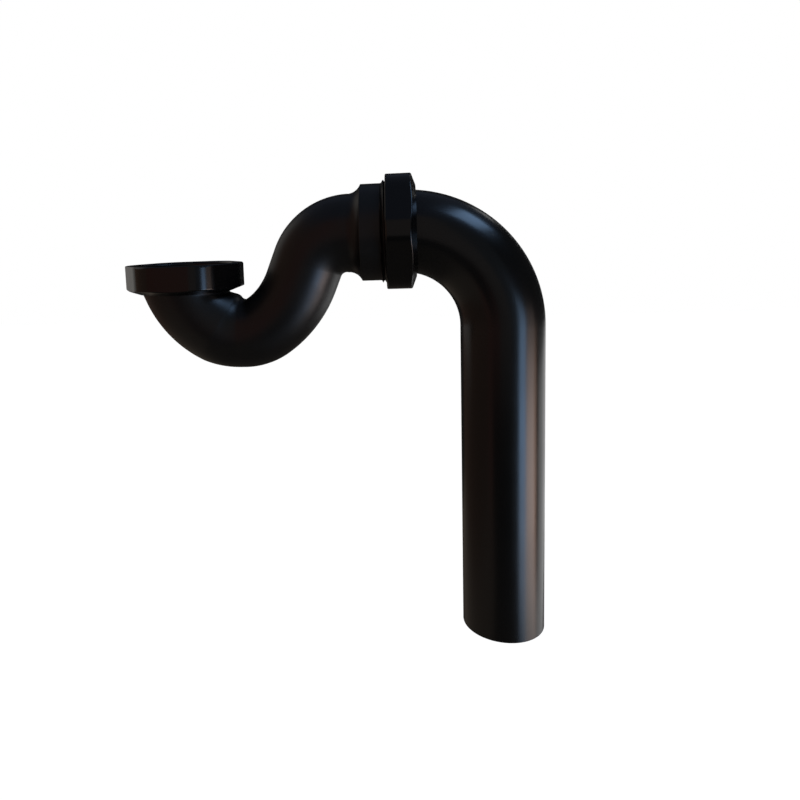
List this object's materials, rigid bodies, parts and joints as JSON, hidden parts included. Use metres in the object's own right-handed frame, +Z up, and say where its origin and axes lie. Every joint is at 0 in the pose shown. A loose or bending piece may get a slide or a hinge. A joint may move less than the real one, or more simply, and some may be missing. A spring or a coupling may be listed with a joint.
{
  "type": "bath trap",
  "caption": "Shallow black plastic bath trap: a hexagonal inlet nut on a U bend whose outlet nut seals a swept bend with a long straight tail pipe.",
  "frame": {"origin": "middle of the inlet washer's top face, where the bath waste seats", "axes": "+Z up along the inlet's axis, +X along the outlet socket's axis, from the inlet to the tail pipe"},
  "size_m": [0.1982, 0.0558, 0.2165],
  "materials": {
    "moulded_black": "satin, injection moulded polypropylene",
    "pipe_black": "satin, extruded and bent tube",
    "nut_black": "semi-gloss, injection moulded",
    "seal_rubber": "matt moulded rubber",
    "ring_plastic": "smooth natural polyethylene"
  },
  "bodies": {
    "trap": {"trap_body": "moulded_black", "inlet_washer": "seal_rubber"},
    "inlet_nut": {"inlet_nut": "nut_black"},
    "slip_ring": {"outlet_slip_ring": "ring_plastic"},
    "outlet_nut": {"outlet_nut": "nut_black"},
    "seal": {"outlet_seal": "seal_rubber"},
    "tail_pipe": {"outlet_pipe": "pipe_black"}
  },
  "joints": [
    {"name": "inlet_nut_turn", "type": "hinge", "parent": "trap", "child": "inlet_nut", "pos_m": [0, 0, -0.0082], "axis": [0, 0, 1], "continuous": true},
    {"name": "slip_ring_slide", "type": "slide", "parent": "trap", "child": "slip_ring", "axis": [1, 0, 0], "range_m": [0, 0.00174]},
    {"name": "outlet_nut_turn", "type": "hinge", "parent": "slip_ring", "child": "outlet_nut", "pos_m": [0.10787, 0, 0.01721], "axis": [1, 0, 0], "range_deg": [0, 270]},
    {"name": "pipe_swivel", "type": "hinge", "parent": "trap", "child": "seal", "pos_m": [0.10667, 0, 0.01721], "axis": [1, 0, 0], "continuous": true},
    {"name": "pipe_slide", "type": "slide", "parent": "seal", "child": "tail_pipe", "axis": [1, 0, 0], "range_m": [0, 0.012]}
  ],
  "couplings": [
    {"joint": "slip_ring_slide", "follows": "outlet_nut_turn", "m_per_rad": 0.00036749}
  ]
}
